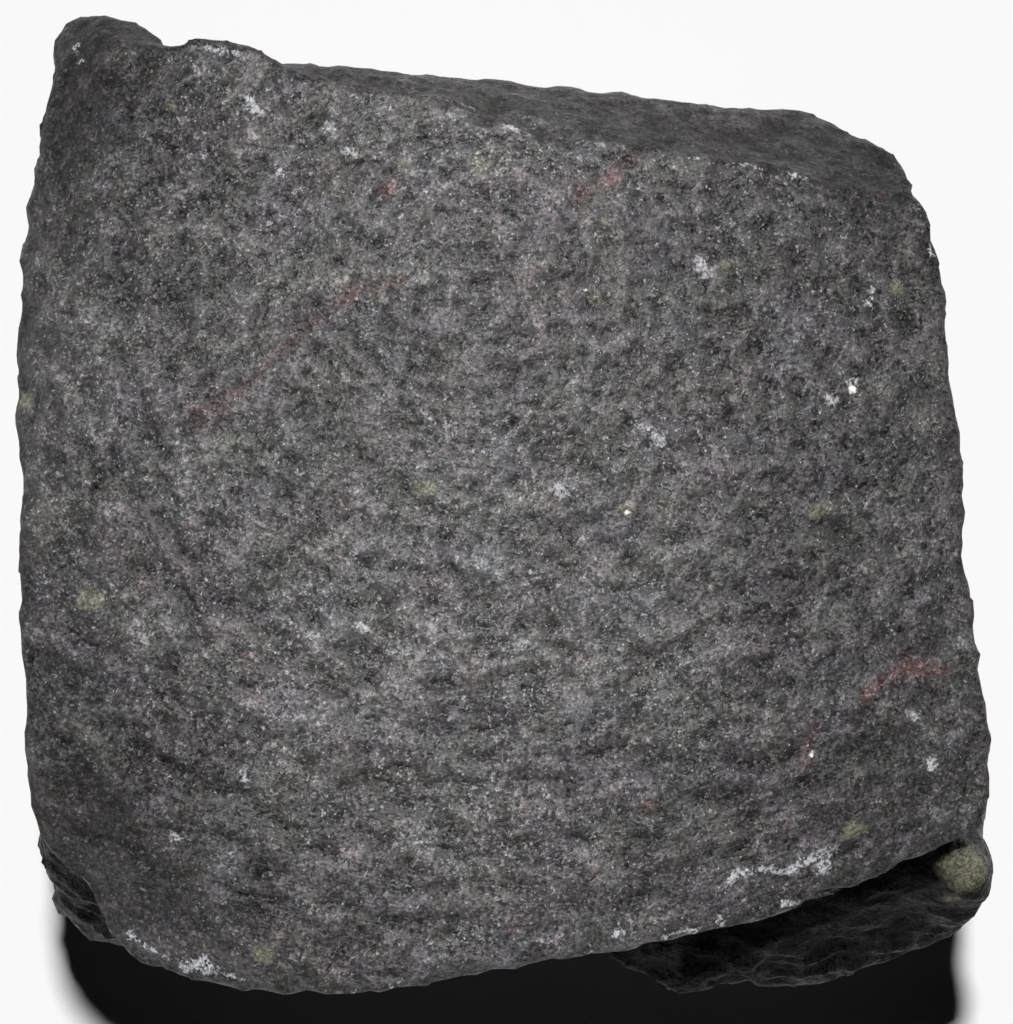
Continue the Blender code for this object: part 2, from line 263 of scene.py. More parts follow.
def relief_tree():
    tree = bpy.data.node_groups.new("Fracture relief", "GeometryNodeTree")
    tree.is_modifier = True
    sockets = tree.interface
    sockets.new_socket("Geometry", in_out="INPUT", socket_type="NodeSocketGeometry")
    for name, value in RELIEF.items():
        sockets.new_socket(name, in_out="INPUT", socket_type="NodeSocketFloat").default_value = value
    blow = sockets.new_socket("Blow point", in_out="INPUT", socket_type="NodeSocketVector")
    blow.default_value = BLOW_POINT
    sockets.new_socket("Seed", in_out="INPUT", socket_type="NodeSocketFloat").default_value = NOISE_SEED
    sockets.new_socket("Material", in_out="INPUT", socket_type="NodeSocketMaterial")
    sockets.new_socket("Geometry", in_out="OUTPUT", socket_type="NodeSocketGeometry")
    return tree


def blurred(tree, value, rounds, data_type="FLOAT_VECTOR"):
    values = {"Value": value, "Iterations": rounds}
    return out(add(tree, "GeometryNodeBlurAttribute", values, data_type=data_type), "Value")


def stored(tree, geometry, name, value, data_type="FLOAT"):
    values = {"Geometry": geometry, "Name": name, "Value": value}
    made = add(tree, "GeometryNodeStoreNamedAttribute", values, data_type=data_type, domain="POINT")
    return made.outputs["Geometry"]


FACET_SHIFT = 0.14  # smoothing moves a small facet by less than this, in millimetres
EDGE_SHIFT = 0.42  # and a real edge by more than this


def smooth_facets(tree, geometry):
    """Melts the coarse solid's small facets together, and keeps its real edges."""
    place = out(add(tree, "GeometryNodeInputPosition"))
    even = blurred(tree, place, 6)
    shift = vector_calc(tree, "SUBTRACT", even, place)
    amount = vector_calc(tree, "LENGTH", shift)
    share = ramp(tree, amount, FACET_SHIFT * MM, EDGE_SHIFT * MM, 1.0, 0.15)
    moved = vector_calc(tree, "SCALE", shift, share)
    return add(tree, "GeometryNodeSetPosition", {"Geometry": geometry, "Offset": moved}).outputs[0]


# %% The tree: noise, dimples and the space round the blow
RIPPLE_TURN_LIMIT = 19.0  # past this distance from the blow, in millimetres, the ripples get longer, not more


def noise_of(tree, vector, scale, detail, roughness, seed):
    """Noise that goes from about -1 to 1. Scale is one over the size of a bump in millimetres."""
    values = {"Vector": vector, "Scale": scale, "Detail": detail, "Roughness": roughness}
    made = add(tree, "ShaderNodeTexNoise", values, noise_dimensions="4D", noise_type="FBM", normalize=True)
    tree.links.new(seed, made.inputs["W"])
    return times_plus(tree, made.outputs[0], 2.0, -1.0)


def scallops(tree, vector, size, softness=0.35):
    """Rounded dimples with ridges between them, from about -1 to 1."""
    values = {"Vector": vector, "Scale": 1.0 / size}
    made = add(tree, "ShaderNodeTexVoronoi", values, voronoi_dimensions="3D", feature="SMOOTH_F1")
    made.inputs["Smoothness"].default_value = softness
    return times_plus(tree, made.outputs["Distance"], 2.6, -1.0)


def ripple_space(tree, place_mm, blow):
    """Coordinates that run outwards from the blow and, stretched, around it."""
    away = vector_calc(tree, "SUBTRACT", place_mm, blow)
    flat = vector_calc(tree, "MULTIPLY", away, (1.0, 1.0, 0.0))
    distance = vector_calc(tree, "LENGTH", flat)
    reach = calc(tree, "MINIMUM", distance, RIPPLE_TURN_LIMIT)
    around = vector_calc(tree, "SCALE", vector_calc(tree, "NORMALIZE", flat), reach)
    parts = add(tree, "ShaderNodeSeparateXYZ", {"Vector": around})
    joined = {"X": distance, "Y": parts.outputs["X"], "Z": parts.outputs["Y"]}
    return add(tree, "ShaderNodeCombineXYZ", joined).outputs[0]


def number_mix(tree, share, first, second):
    """Between two numbers, by a share from 0 to 1."""
    values = {"Factor": share, "A": first, "B": second}
    return add(tree, "ShaderNodeMix", values, data_type="FLOAT").outputs[0]


# %% The tree: what it measures at each point
UPPER_FACE_SLOPES = (0.35, 0.80)  # the normal's Z at which the upper face begins, and where it is fully there
UPPER_FACE_HEIGHTS = (28.0, 36.0)  # the same for the height, in millimetres
NOISE_BEND = 3.2  # how far the space of the noises is bent, in millimetres


def measure_points(tree, start):
    """Sockets that tell where a point lies, which way it faces and how far it stands out."""
    at = SimpleNamespace(seed=start.outputs["Seed"])
    place = out(add(tree, "GeometryNodeInputPosition"))
    at.normal = out(add(tree, "GeometryNodeInputNormal"))
    at.place = vector_calc(tree, "SCALE", place, 1000.0)
    at.up = add(tree, "ShaderNodeSeparateXYZ", {"Vector": blurred(tree, at.normal, 4)}).outputs["Z"]
    parts = add(tree, "ShaderNodeSeparateXYZ", {"Vector": at.place})
    at.across, at.along, at.height = (parts.outputs[axis] for axis in "XYZ")
    high_up = ramp(tree, at.height, *UPPER_FACE_HEIGHTS)
    at.upper = times(tree, ramp(tree, at.up, *UPPER_FACE_SLOPES), high_up)

    # how far a point stands out from its surroundings tells edges and hollows apart
    shift = vector_calc(tree, "SUBTRACT", at.place, blurred(tree, at.place, 14))
    at.edge = vector_calc(tree, "DOT_PRODUCT", shift, at.normal)
    at.near_edge = blurred(tree, calc(tree, "ABSOLUTE", at.edge), 6, "FLOAT")

    # the same place in the space round the blow, and both of them bent
    at.round_blow = ripple_space(tree, at.place, start.outputs["Blow point"])
    warp = add(tree, "ShaderNodeTexNoise", {"Vector": at.place, "Scale": 0.28, "Detail": 1.0})
    bend = vector_calc(tree, "SUBTRACT", warp.outputs["Color"], (0.5, 0.5, 0.5))
    bend = vector_calc(tree, "SCALE", bend, NOISE_BEND)
    at.bent_place = vector_calc(tree, "ADD", at.place, bend)
    at.bent_round = vector_calc(tree, "ADD", at.round_blow, bend)
    return at


# %% The tree: the broken surface and the plates
SCALLOP_SIZE = 1.9  # on the upper face, in millimetres
SIDE_SCALLOP_SIZE = 2.6
SIDES_ROUGHER = 1.8  # how many times rougher the sides are than the upper face
EDGES_CALMER = 0.35  # what is left of the relief on edges, so that they stay edges


def broken_surface(tree, start, at):
    """Waves, ripples, scallops and hackle together, and the small ones of them alone."""
    broad = noise_of(tree, at.place, 0.13, 1.0, 0.5, at.seed)
    arcs = noise_of(tree, at.bent_round, 0.42, 2.0, 0.45, at.seed)
    on_sides = noise_of(tree, at.bent_place, 0.32, 3.0, 0.5, at.seed)
    ripples = number_mix(tree, at.upper, on_sides, arcs)
    dents = scallops(tree, at.bent_round, SCALLOP_SIZE)
    side_dents = scallops(tree, at.bent_place, SIDE_SCALLOP_SIZE)
    rounded = number_mix(tree, at.upper, side_dents, dents)
    hackle = noise_of(tree, at.bent_place, 0.75, 4.0, 0.62, at.seed)

    small = times(tree, hackle, start.outputs["Hackle"])
    small = times_plus(tree, rounded, start.outputs["Scallops"], small)
    relief = times_plus(tree, ripples, start.outputs["Ripples"], small)
    relief = times_plus(tree, broad, start.outputs["Broad waves"], relief)
    calm = calc(tree, "ADD", at.upper, ramp(tree, at.height, 26.0, 34.0))
    relief = times(tree, relief, ramp(tree, calm, 0.0, 1.0, SIDES_ROUGHER, 1.0))
    relief = times(tree, relief, ramp(tree, at.near_edge, 0.10, 0.35, 1.0, EDGES_CALMER))
    return relief, small


def flaked_plates(tree, start, at):
    """Flakes that came off the sides left plates with sharp borders."""
    level = noise_of(tree, at.bent_place, 0.11, 1.5, 0.5, at.seed)
    level = times_plus(tree, level, 3.0, 3.0)
    rest = calc(tree, "FRACT", level)
    plates = calc(tree, "ADD", calc(tree, "FLOOR", level), ramp(tree, rest, 0.40, 0.60))
    plates = calc(tree, "SUBTRACT", plates, 3.0)
    plates = times(tree, plates, ramp(tree, at.height, 22.0, 33.0, 1.0, 0.0))
    plates = times(tree, plates, ramp(tree, at.upper, 0.0, 0.5, 1.0, 0.0))
    return times(tree, plates, start.outputs["Flake steps"])


# %% The tree: the edges and the two local pushes
LEFT_RIM_MIDDLE = 21.0  # along Y, in millimetres
LEFT_RIM_REACH = (3.0, 20.0)  # the push is full up to the first distance from there, and ends at the second


def worked_edges(tree, start, at):
    """Hammered edges crumble unevenly. The net rounded them off too, and that part is put back."""
    bites = noise_of(tree, at.place, 0.5, 3.0, 0.6, at.seed)
    bites = times_plus(tree, bites, 0.8, 0.5, clamp=True)
    crumble = times(tree, ramp(tree, at.edge, 0.25, 0.9), bites)
    crumble = times(tree, crumble, start.outputs["Chipped edges"])
    rims = times(tree, at.edge, ramp(tree, at.edge, 0.12, 0.3))
    rims = times(tree, blurred(tree, rims, 3, "FLOAT"), start.outputs["Sharper rims"])
    return calc(tree, "SUBTRACT", rims, crumble)


def left_rim_push(tree, start, at):
    """The photo's left rim stands a little further out than the coarse solid's."""
    west = calc(tree, "ABSOLUTE", calc(tree, "SUBTRACT", at.along, LEFT_RIM_MIDDLE))
    west = ramp(tree, west, *LEFT_RIM_REACH, 1.0, 0.0)
    west = times(tree, west, ramp(tree, at.across, -26.0, -36.0))
    west = times(tree, west, ramp(tree, at.height, 14.0, 34.0))
    west = times(tree, west, start.outputs["Fuller left rim"])
    return add(tree, "ShaderNodeCombineXYZ", {"X": times(tree, west, -MM)}).outputs[0]


def notch_push(tree, start, at):
    """The notch where the shelf ends at the right corner is filled a little."""
    near = ramp(tree, vector_calc(tree, "DISTANCE", at.place, NOTCH), 0.5, 4.5, 1.0, 0.0)
    near = times(tree, near, start.outputs["Filled notch"])
    return vector_calc(tree, "SCALE", NOTCH_WAY, times(tree, near, MM))


# %% [markdown]
# ## What the tree leaves for the material
#
# The material needs to know where an edge stands out, where its painted light falls off and which clot a
# point lies in. It could work that out itself, but then it would do so again for every ray of light. The tree
# knows it already, so it stores it on the mesh as attributes, which cost next to nothing to read.

# %% The tree: the masks that the material reads
def masks_of(tree, at, small):
    """Names and values of the masks."""
    clots = noise_of(tree, at.bent_round, 0.50, 2.0, 0.6, at.seed)
    clouds = noise_of(tree, at.place, 0.055, 2.0, 0.5, at.seed)
    drift = noise_of(tree, at.bent_place, 0.15, 1.0, 0.5, at.seed)
    # painted light falloff: brightest on level faces near the middle of the upper face, darker towards its
    # rims
    level_face = ramp(tree, at.up, 0.55, 0.93)
    from_middle = vector_calc(tree, "SUBTRACT", at.place, PAINTED_LIGHT_MIDDLE)
    from_middle = vector_calc(tree, "MULTIPLY", from_middle, PAINTED_LIGHT_SPREAD)
    painted_lit_middle = ramp(tree, vector_calc(tree, "LENGTH", from_middle), 0.3, 1.1, 1.0, 0.0)
    return {
        "edge": times(tree, at.edge, ramp(tree, at.upper, 0.0, 0.4, 0.8, 1.0)),
        "small_relief": times(tree, small, ramp(tree, at.upper, 0.0, 1.0, 0.35, 1.0)),
        "upper_face": at.upper,
        "clots": times_plus(tree, clouds, 0.5, clots),
        "drift": drift,
        "painted_lit_middle": times(tree, painted_lit_middle, level_face),
        "level_face": level_face,
    }


# %% The whole tree
def fill_relief_tree(tree):
    start = tree.nodes.new("NodeGroupInput")
    end = tree.nodes.new("NodeGroupOutput")
    shape = smooth_facets(tree, start.outputs["Geometry"])
    at = measure_points(tree, start)

    relief, small = broken_surface(tree, start, at)
    relief = calc(tree, "ADD", relief, flaked_plates(tree, start, at))
    relief = calc(tree, "ADD", relief, worked_edges(tree, start, at))
    # low on the sides no loose crumbs hang, and the worn flat spot and its borders keep their level
    relief = times(tree, relief, ramp(tree, at.height, 3.0, 16.0, 0.4, 1.0))
    relief = times(tree, relief, ramp(tree, at.height, 0.02, 0.9))
    push = vector_calc(tree, "SCALE", at.normal, times(tree, relief, MM))
    push = vector_calc(tree, "ADD", push, left_rim_push(tree, start, at))
    push = vector_calc(tree, "ADD", push, notch_push(tree, start, at))

    for name, value in masks_of(tree, at, small).items():
        shape = stored(tree, shape, name, value)
    shape = stored(tree, shape, "round_blow", at.round_blow, "FLOAT_VECTOR")
    shape = add(tree, "GeometryNodeSetPosition", {"Geometry": shape, "Offset": push}).outputs[0]
    shape = add(tree, "GeometryNodeRealizeInstances", {"Geometry": shape}).outputs[0]
    painted = {"Geometry": shape, "Material": start.outputs["Material"]}
    painted = add(tree, "GeometryNodeSetMaterial", painted)
    tree.links.new(painted.outputs[0], end.inputs["Geometry"])


# %% Running the tree on the net
basalt = bpy.data.materials.new("basalt")
basalt.use_nodes = True

tree = relief_tree()
fill_relief_tree(tree)
relief_modifier = stone.modifiers.new("Fracture relief", "NODES")
relief_modifier.node_group = tree
inputs = {item.name: item.identifier for item in tree.interface.items_tree if item.in_out == "INPUT"}
for name, value in RELIEF.items():
    relief_modifier[inputs[name]] = value
relief_modifier[inputs["Blow point"]] = BLOW_POINT
relief_modifier[inputs["Seed"]] = NOISE_SEED
relief_modifier[inputs["Material"]] = basalt
baked(stone)
print("points on the skin:", len(stone.data.vertices))

# %% [markdown]
# ## Inside the solid's box
#
# The skin is a finer version of the same stone, so it must not outgrow it. Points that the relief pushed
# past the solid's box are put back onto its sides, and nothing sinks below the ground.

# %% Keep the skin in the box


def read_points(mesh):
    flat = np.empty(len(mesh.vertices) * 3, np.float32)
    mesh.vertices.foreach_get("co", flat)
    return flat.reshape(-1, 3).astype(float)


def keep_in_box(mesh):
    points = read_points(mesh)
    held = np.clip(points, np.array(low), np.array(high))
    moved = np.linalg.norm(held - points, axis=1)
    mesh.vertices.foreach_set("co", held.astype(np.float32).ravel())
    mesh.update()
    print("points held back:", int((moved > 0).sum()), "by at most", round(float(moved.max()) / MM, 2), "mm")


keep_in_box(stone.data)
stone.data.shade_smooth()

# %% [markdown]
# ## Where the marks are
#
# Several kinds of mark lie on the upper face. Iron-red veins are healed cracks that the rock broke across.
# White bruises are crushed crystals where the hammer slipped; along the rims the same white also paints the
# highlight that the rims catch. Yellow-green spots are weathered olivine. A few pale crystals carry a painted
# glint that makes them bright enough to be seen one by one, and the corner knob has a pale weathered crust.
# They could be painted on an image. A lighter way that keeps its sharpness at any size is to store, for
# each point of the mesh, how far it is from the nearest mark of each kind. The material turns that distance
# into a colour with a ragged border. Each mark is a short path on the upper face, in millimetres, and a
# half width.
#
# One more mask stores painted shade. The low ledge, the gap behind it and the side past the lower left
# corner are painted nearly black, for the shadow that they lie in, and the outer parts of the upper face are
# painted darker than its middle, where the light falls off.

# %% Paths of the marks
IRON_VEINS = [
    ([(-25.0, 8.0), (-23.2, 9.2)], 0.5),
    ([(-22.2, 9.8), (-20.0, 11.9), (-17.7, 13.8), (-16.9, 14.8)], 0.15),
    ([(-16.9, 14.8), (-13.6, 17.3), (-12.2, 18.3), (-8.7, 19.1)], 0.1),
    ([(-12.4, 18.1), (-12.0, 18.4)], 0.35),
    ([(6.2, 26.3), (8.5, 27.6), (10.3, 28.9)], 0.4),
    ([(24.0, -20.0), (24.9, -18.0), (25.0, -17.1)], 0.25),
    ([(29.4, -14.6), (30.6, -13.4), (32.4, -12.4)], 0.2),
    ([(32.9, -12.3), (35.9, -12.7)], 0.45),
    ([(-9.7, 26.7), (-9.6, 26.2)], 0.4),
    ([(11.6, -23.7), (12.2, -23.8)], 0.4),
    ([(0.5, -33.5), (0.9, -33.5)], 0.1),
    ([(30.5, 26.7), (31.0, 26.7)], 0.2),
]
BRUISES_AND_RIM_LIGHT = [
    ([(-24.6, 38.4), (-21.9, 37.9)], 0.15),
    ([(-21.2, 34.0), (-20.0, 32.6)], 0.35),
    ([(-14.6, 31.6), (-14.2, 31.5)], 0.35),
    ([(-13.0, 29.8), (-12.5, 29.7)], 0.3),
    ([(-18.3, 28.3), (-17.9, 28.2)], 0.3),
    ([(0.1, 31.7), (1.9, 31.4)], 0.15),
    ([(-7.5, 10.3), (-7.1, 8.9), (-5.4, 7.3), (-3.4, 7.3)], 0.08),
    ([(4.2, 2.1), (4.5, 1.9)], 0.5),
    ([(10.9, 7.4), (12.7, 6.0)], 0.3),
    ([(15.4, 20.9), (16.3, 19.7)], 0.35),
    ([(29.9, 18.6), (29.7, 17.3)], 0.25),
    ([(28.3, 11.0), (28.4, 10.6)], 0.35),
    ([(26.4, 9.5), (26.7, 9.4)], 0.35),
    ([(34.8, 22.2), (34.9, 21.8)], 0.3),
    ([(-27.1, -26.1), (-26.9, -26.2)], 0.4),
    ([(-11.7, -9.0), (-11.5, -9.0)], 0.3),
    ([(-21.4, -20.7), (-21.3, -21.2)], 0.3),
    ([(32.9, -16.3), (33.3, -16.4)], 0.4),
    ([(34.6, -19.8), (34.8, -20.3)], 0.35),
    ([(17.5, -30.2), (18.7, -29.0), (20.8, -28.7), (22.8, -28.9), (24.4, -28.2), (26.7, -27.2)], 0.35),
    ([(25.5, -28.7), (26.0, -28.5)], 0.5),
    ([(22.6, -31.7), (23.9, -31.6)], 0.12),
    ([(14.9, -33.9), (15.2, -34.0)], 0.35),
    ([(9.0, -33.9), (9.3, -34.1)], 0.35),
    ([(17.3, -32.6), (17.5, -33.2)], 0.2),
    ([(3.0, -36.7), (4.6, -36.4)], 0.3),
    ([(-26.3, -37.0), (-23.9, -37.2)], 0.35),
    ([(-9.1, -38.4), (-8.3, -38.5)], 0.4),
    # the paths from here on follow the rims: their specks are crushed rims and also a painted highlight along
    # them
    ([(-8.2, 35.4), (-6.3, 34.5), (-2.1, 33.2), (1.9, 30.9)], -0.1),
    ([(4.3, 30.6), (9.7, 30.2), (15.7, 29.3)], -0.1),
    ([(17.9, 29.0), (22.2, 28.4), (24.6, 27.6), (26.6, 26.4)], 0.0),
    ([(28.3, 26.4), (28.9, 26.3)], 0.1),
    ([(-35.6, 39.0), (-35.2, 37.6)], 0.1),
    ([(-31.8, 37.7), (-29.6, 38.2), (-27.9, 37.2)], -0.15),
    ([(-31.0, -34.6), (-28.2, -36.4), (-21.6, -37.9)], 0.1),
    ([(-12.1, -39.2), (-10.6, -39.3)], 0.15),
    ([(12.0, -34.6), (13.2, -34.2), (15.8, -33.6)], 0.1),
    ([(2.2, -37.0), (5.4, -36.0), (7.6, -35.6)], 0.05),
    ([(-26.6, -37.2), (-25.4, -37.0), (-24.8, -36.4)], 0.45),
]
# pale crystals that also get a painted glint
BRIGHT_CRYSTALS = [
    ([(9.7, 0.3), (9.9, 0.2)], 0.05),
    ([(-11.5, -9.2), (-11.4, -9.2)], 0.05),
    ([(28.1, 10.4), (28.3, 10.3)], 0.15),
    ([(24.8, -19.5), (24.9, -19.2)], 0.0),
    ([(-12.3, 17.7), (-12.1, 17.8)], 0.0),
    ([(6.5, 18.4), (6.6, 18.4)], 0.0),
]
OLIVINE_SPOTS = [
    ([(-33.9, -6.7), (-33.5, -6.8)], 1.0),
    ([(9.9, 0.6), (10.0, 0.6)], 0.5),
    ([(-6.8, 2.4), (-6.6, 2.2)], 0.6),
    ([(-2.2, 28.7), (-2.0, 28.6)], 0.6),
    ([(-8.6, 28.9), (-8.5, 28.8)], 0.45),
    ([(7.2, 17.9), (7.3, 17.9)], 0.35),
    ([(17.7, 20.5), (17.8, 20.5)], 0.35),
    ([(32.1, 18.7), (32.2, 18.6)], 0.45),
    ([(-27.5, 33.7), (-27.2, 33.9)], 0.2),
    ([(-39.6, 9.5), (-39.5, 9.3)], 0.5),
    ([(-19.9, -35.6), (-19.6, -35.7)], 0.7),
    ([(28.3, -25.7), (28.5, -25.6)], 0.6),
    ([(25.6, 0.5), (25.8, 0.6)], 0.6),
]
PALE_SPOTS = [  # middle and radius of the pale weathered spots on the corner knob, in millimetres
    ((38.3, -29.4, 40.5), 2.0),
    ((37.2, -32.4, 38.5), 0.7),
]
# painted shade: the ledge under the slab, the line behind which the gap is painted black, and the rim with a
# side beyond it painted dark
LOW_LEDGE = [(11.0, -41.0), (20.0, -40.5), (30.0, -38.0), (37.0, -33.5)]
GAP_EDGE = [(12.0, -43.5), (15.9, -41.0), (21.9, -37.6), (29.7, -34.1), (36.6, -31.1)]
CORNER_RIM = [(-25.3, -39.0), (-32.8, -35.3), (-33.5, -31.6), (-38.6, -27.0)]
PAINTED_SHADE_PARTS = [  # middle, radius and share of painted shade, where the face is painted darker as the light falls off
    ((-34.0, -24.0), 11.0, 0.40),
    ((30.0, -8.0), 12.0, 0.17),
    ((25.0, 16.0), 14.0, 0.21),
    ((31.0, -24.0), 8.0, 0.25),
    ((-36.0, 34.0), 9.0, 0.48),
    ((-22.0, 24.0), 12.0, 0.08),
    ((31.0, 28.0), 5.0, 0.40),
]


# %% Distances stored on the mesh
MARKS_ABOVE = 34.0  # marks lie above this height, in millimetres
MARKS_TURN = 0.45  # and where the normal's Z is above this


def path_distance(points, path):
    """The distance of each point from a path, seen from above."""
    best = np.full(len(points), 1e3)
    for start, end in zip(path, path[1:]):
        start, run = np.array(start), np.subtract(end, start)
        share = np.clip((points - start) @ run / (run @ run), 0.0, 1.0)
        best = np.minimum(best, np.linalg.norm(points - start - share[:, None] * run, axis=1))
    return best


def facing_up(mesh):
    """The Z of the normal at each point."""
    normals = np.empty(len(mesh.vertices) * 3, np.float32)
    mesh.vertex_normals.foreach_get("vector", normals)
    return normals[2::3]


def store_field(mesh, name, values):
    mesh.attributes.new(name, "FLOAT", "POINT").data.foreach_set("value", values.astype(np.float32))


def store_marks(mesh, name, marks, reach=4.0):
    """Stores the distance past the nearest mark's border: negative inside a mark."""
    points = read_points(mesh) / MM
    field = np.full(len(points), reach)
    for path, half_width in marks:
        field = np.minimum(field, path_distance(points[:, :2], path) - half_width)
    field[(points[:, 2] < MARKS_ABOVE) | (facing_up(mesh) < MARKS_TURN)] = reach
    store_field(mesh, name, field)
    print(name, "covers", int((field < 0).sum()), "points")


store_marks(stone.data, "iron_vein", IRON_VEINS)
store_marks(stone.data, "bruise_and_rim_light", BRUISES_AND_RIM_LIGHT)
store_marks(stone.data, "olivine", OLIVINE_SPOTS)
store_marks(stone.data, "crystal", BRIGHT_CRYSTALS)
points_mm = read_points(stone.data) / MM
past_spots = [np.linalg.norm(points_mm - spot, axis=1) - radius for spot, radius in PALE_SPOTS]
store_field(stone.data, "knob", np.min(past_spots, axis=0))


# %% Painted shade: where the rock is painted dark
LEDGE_SHADES = (0.60, 0.84)  # painted shade: how much darker the colour gets where the face is steep, and where it looks up
GAP_SHADES = (0.80, 0.95)
CORNER_SHADES = (0.65, 0.83)


def rises(value, start, end):
    """0 before the start, 1 past the end, and straight between. The end may be the smaller number."""
    return np.clip((value - start) / (end - start), 0.0, 1.0)


def shade_of(pair, looks_up):
    steep, level = pair
    return steep + (level - steep) * looks_up


def ledge_and_gap(x, y, z, looks_up):
    """Painted shade on the low ledge under the lower right rim, and in the gap behind it."""
    near = rises(path_distance(np.column_stack((x, y)), LOW_LEDGE), 6.5, 4.0)
    ledge = shade_of(LEDGE_SHADES, looks_up) * near * rises(z, 44.0, 40.0) * rises(z, 12.0, 22.0)
    gap_x, gap_y = np.array(GAP_EDGE).T
    behind = rises(y - np.interp(x, gap_x, gap_y), -0.3, 0.6)
    inside = rises(x, 10.5, 15.5) * rises(x, 39.0, 37.0) * rises(z, 44.0, 42.5) * rises(z, 17.0, 23.0)
    return np.maximum(ledge, shade_of(GAP_SHADES, looks_up) * behind * inside * (near > 0))


def past_the_corner(x, y, z, looks_up):
    """Painted shade on the side beyond the rim at the lower left corner."""
    rim_x, rim_y = np.array(CORNER_RIM).T
    beyond = rises(np.interp(y, rim_y, rim_x) - x, 0.0, 0.8) * rises(y, -26.0, -28.0) * rises(z, 16.0, 26.0)
    return shade_of(CORNER_SHADES, looks_up) * beyond


def store_shade(mesh):
    """Stores how much painted shade darkens each point."""
    x, y, z = (read_points(mesh) / MM).T
    looks_up = rises(facing_up(mesh), 0.05, 0.40)
    shade = np.maximum(ledge_and_gap(x, y, z, looks_up), past_the_corner(x, y, z, looks_up))
    # painted shade on the outer parts of the upper face
    for (middle_x, middle_y), radius, share in PAINTED_SHADE_PARTS:
        away = np.hypot(x - middle_x, y - middle_y) / radius
        shade = 1.0 - (1.0 - shade) * (1.0 - share * np.exp(-(away**2)))
    store_field(mesh, "shade", shade)
    print("points in deep shade:", int((shade > 0.5).sum()))


store_shade(stone.data)

# %% [markdown]
# ## The rock's colour and gloss
#
# From a step away basalt is simply dark grey. Close up it is a felt of tiny crystals: pale grey feldspar
# laths, black pyroxene, and here and there a grain that catches the light. The colour therefore varies at
# three sizes at once: single crystals, clots of a few millimetres, and soft clouds of several centimetres.
# The clots and clouds are large enough to be stored on the mesh by the relief tree. The crystals are made
# here, by two Voronoi textures and noise. One of the noises is laid in the stored space round the blow, so
# its strokes run along the ripples.
#
# The rock itself is nearly black. Much of the grey that the eye sees is gloss from thousands of little
# crystal faces that happen to look at the light. So the colour stays dark, the roughness is only medium,
# and a fine bump tilts the faces. Then a face that turns from the light goes dark, as on the real stone,
# instead of staying evenly grey.
#
# All textures use Object coordinates, turned into millimetres first.

# %% Helpers for the material
def attribute(tree, name):
    return add(tree, "ShaderNodeAttribute", attribute_name=name, attribute_type="GEOMETRY").outputs["Fac"]


def colour_mix(tree, factor, first, second, blend="MIX"):
    colours = {"Factor": factor, "A": first, "B": second}
    return out(add(tree, "ShaderNodeMix", colours, data_type="RGBA", blend_type=blend), "Result")


def crystals(tree, place, size):
    """Two random numbers for each crystal, a random lean, and the distance from its middle."""
    values = {"Vector": place, "Scale": 1.0 / size}
    made = add(tree, "ShaderNodeTexVoronoi", values, voronoi_dimensions="3D", feature="F1")
    pick = add(tree, "ShaderNodeSeparateColor", {"Color": made.outputs["Color"]})
    lean = vector_calc(tree, "SUBTRACT", made.outputs["Color"], (0.5, 0.5, 0.5))
    return pick.outputs[0], pick.outputs[1], lean, made.outputs["Distance"]


def three_noises(tree, place, scale, detail, roughness):
    """One noise texture that gives three unrelated values from about -1 to 1, and all three as a vector.

    The first value comes from the single-value output, because the bump map reads it three times and that
    output is much cheaper.
    """
    values = {"Vector": place, "Scale": scale, "Detail": detail, "Roughness": roughness}
    made = add(tree, "ShaderNodeTexNoise", values, noise_dimensions="3D")
    first = times_plus(tree, made.outputs[0], 2.0, -1.0)
    spread = vector_calc(tree, "MULTIPLY_ADD", made.outputs["Color"], (2.0, 2.0, 2.0), (-1.0, -1.0, -1.0))
    parts = add(tree, "ShaderNodeSeparateXYZ", {"Vector": spread})
    return first, parts.outputs[1], parts.outputs[2], spread


# %% The textures of the rock
CRYSTAL_SIZE = 0.50  # of the larger crystals, in millimetres
FINE_CRYSTAL_SIZE = 0.19
FELT_SCALE = 2.2  # one over the size of a tuft of the felt, in millimetres
RAGGED_SCALE = 0.80  # the same for the ragged bits
STROKE_SCALE = 1.0  # for the ragged bits in the space round the blow
CLOUD_SCALE = 0.22
STROKE_SHARE = 0.75  # how much of the upper face's raggedness runs along the ripples
CRYSTAL_BEND = 0.12  # how far the felt pushes the crystals' borders, in millimetres


def rock_textures(tree):
    """All textures, in millimetres, with the masks that the relief tree stored."""
    coordinates = add(tree, "ShaderNodeTexCoord").outputs["Object"]
    place = vector_calc(tree, "SCALE", coordinates, 1000.0)
    rock = SimpleNamespace(clots=attribute(tree, "clots"), upper_face=attribute(tree, "upper_face"))
    rock.felt, rock.felt_two, rock.felt_three, felt_vector = three_noises(tree, place, FELT_SCALE, 3.0, 0.75)
    ragged, rock.ragged_two, rock.ragged_three, _ = three_noises(tree, place, RAGGED_SCALE, 3.0, 0.62)
    round_blow = add(tree, "ShaderNodeAttribute", attribute_name="round_blow", attribute_type="GEOMETRY")
    strokes = three_noises(tree, round_blow.outputs["Vector"], STROKE_SCALE, 3.0, 0.62)[0]
    along_ripples = times(tree, rock.upper_face, STROKE_SHARE)
    rock.ragged = number_mix(tree, along_ripples, ragged, strokes)
    rock.cloud, rock.cloud_two, rock.cloud_three, _ = three_noises(tree, place, CLOUD_SCALE, 1.0, 0.5)
    bent = vector_calc(tree, "ADD", place, vector_calc(tree, "SCALE", felt_vector, CRYSTAL_BEND))
    rock.grain, rock.grain_two, rock.grain_lean, _ = crystals(tree, bent, CRYSTAL_SIZE)
    rock.fine, rock.fine_two, rock.fine_lean, rock.from_fine = crystals(tree, bent, FINE_CRYSTAL_SIZE)
    return rock
